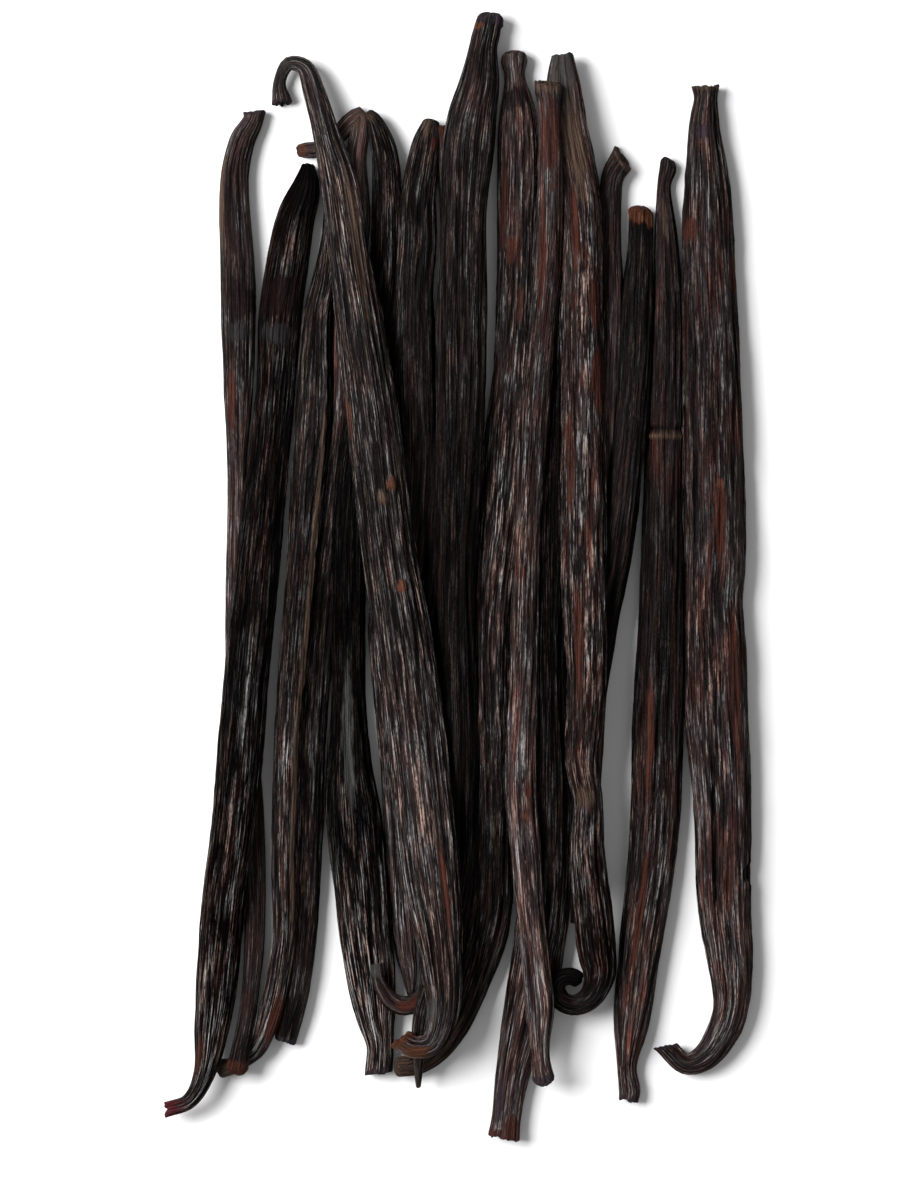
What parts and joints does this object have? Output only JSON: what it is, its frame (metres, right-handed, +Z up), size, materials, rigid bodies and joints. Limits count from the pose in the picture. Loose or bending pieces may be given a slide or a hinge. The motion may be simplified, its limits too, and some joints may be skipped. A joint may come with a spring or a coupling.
{
  "type": "bundle of vanilla pods",
  "caption": "Flat, loose bundle of dark, wrinkled, cured vanilla pods lying side by side and across each other, with flared or hooked stalk ends and curled tips.",
  "frame": {"origin": "middle of the bundle's footprint, on the surface that it lies on", "axes": "+Y along the pods towards their stalk ends, +Z up through the shown side, +X to the right seen from above"},
  "size_m": [0.1028, 0.1972, 0.0117],
  "materials": {
    "pod_skin": "satin"
  },
  "bodies": {
    "root": {"pod_bundle": "pod_skin"}
  },
  "joints": []
}
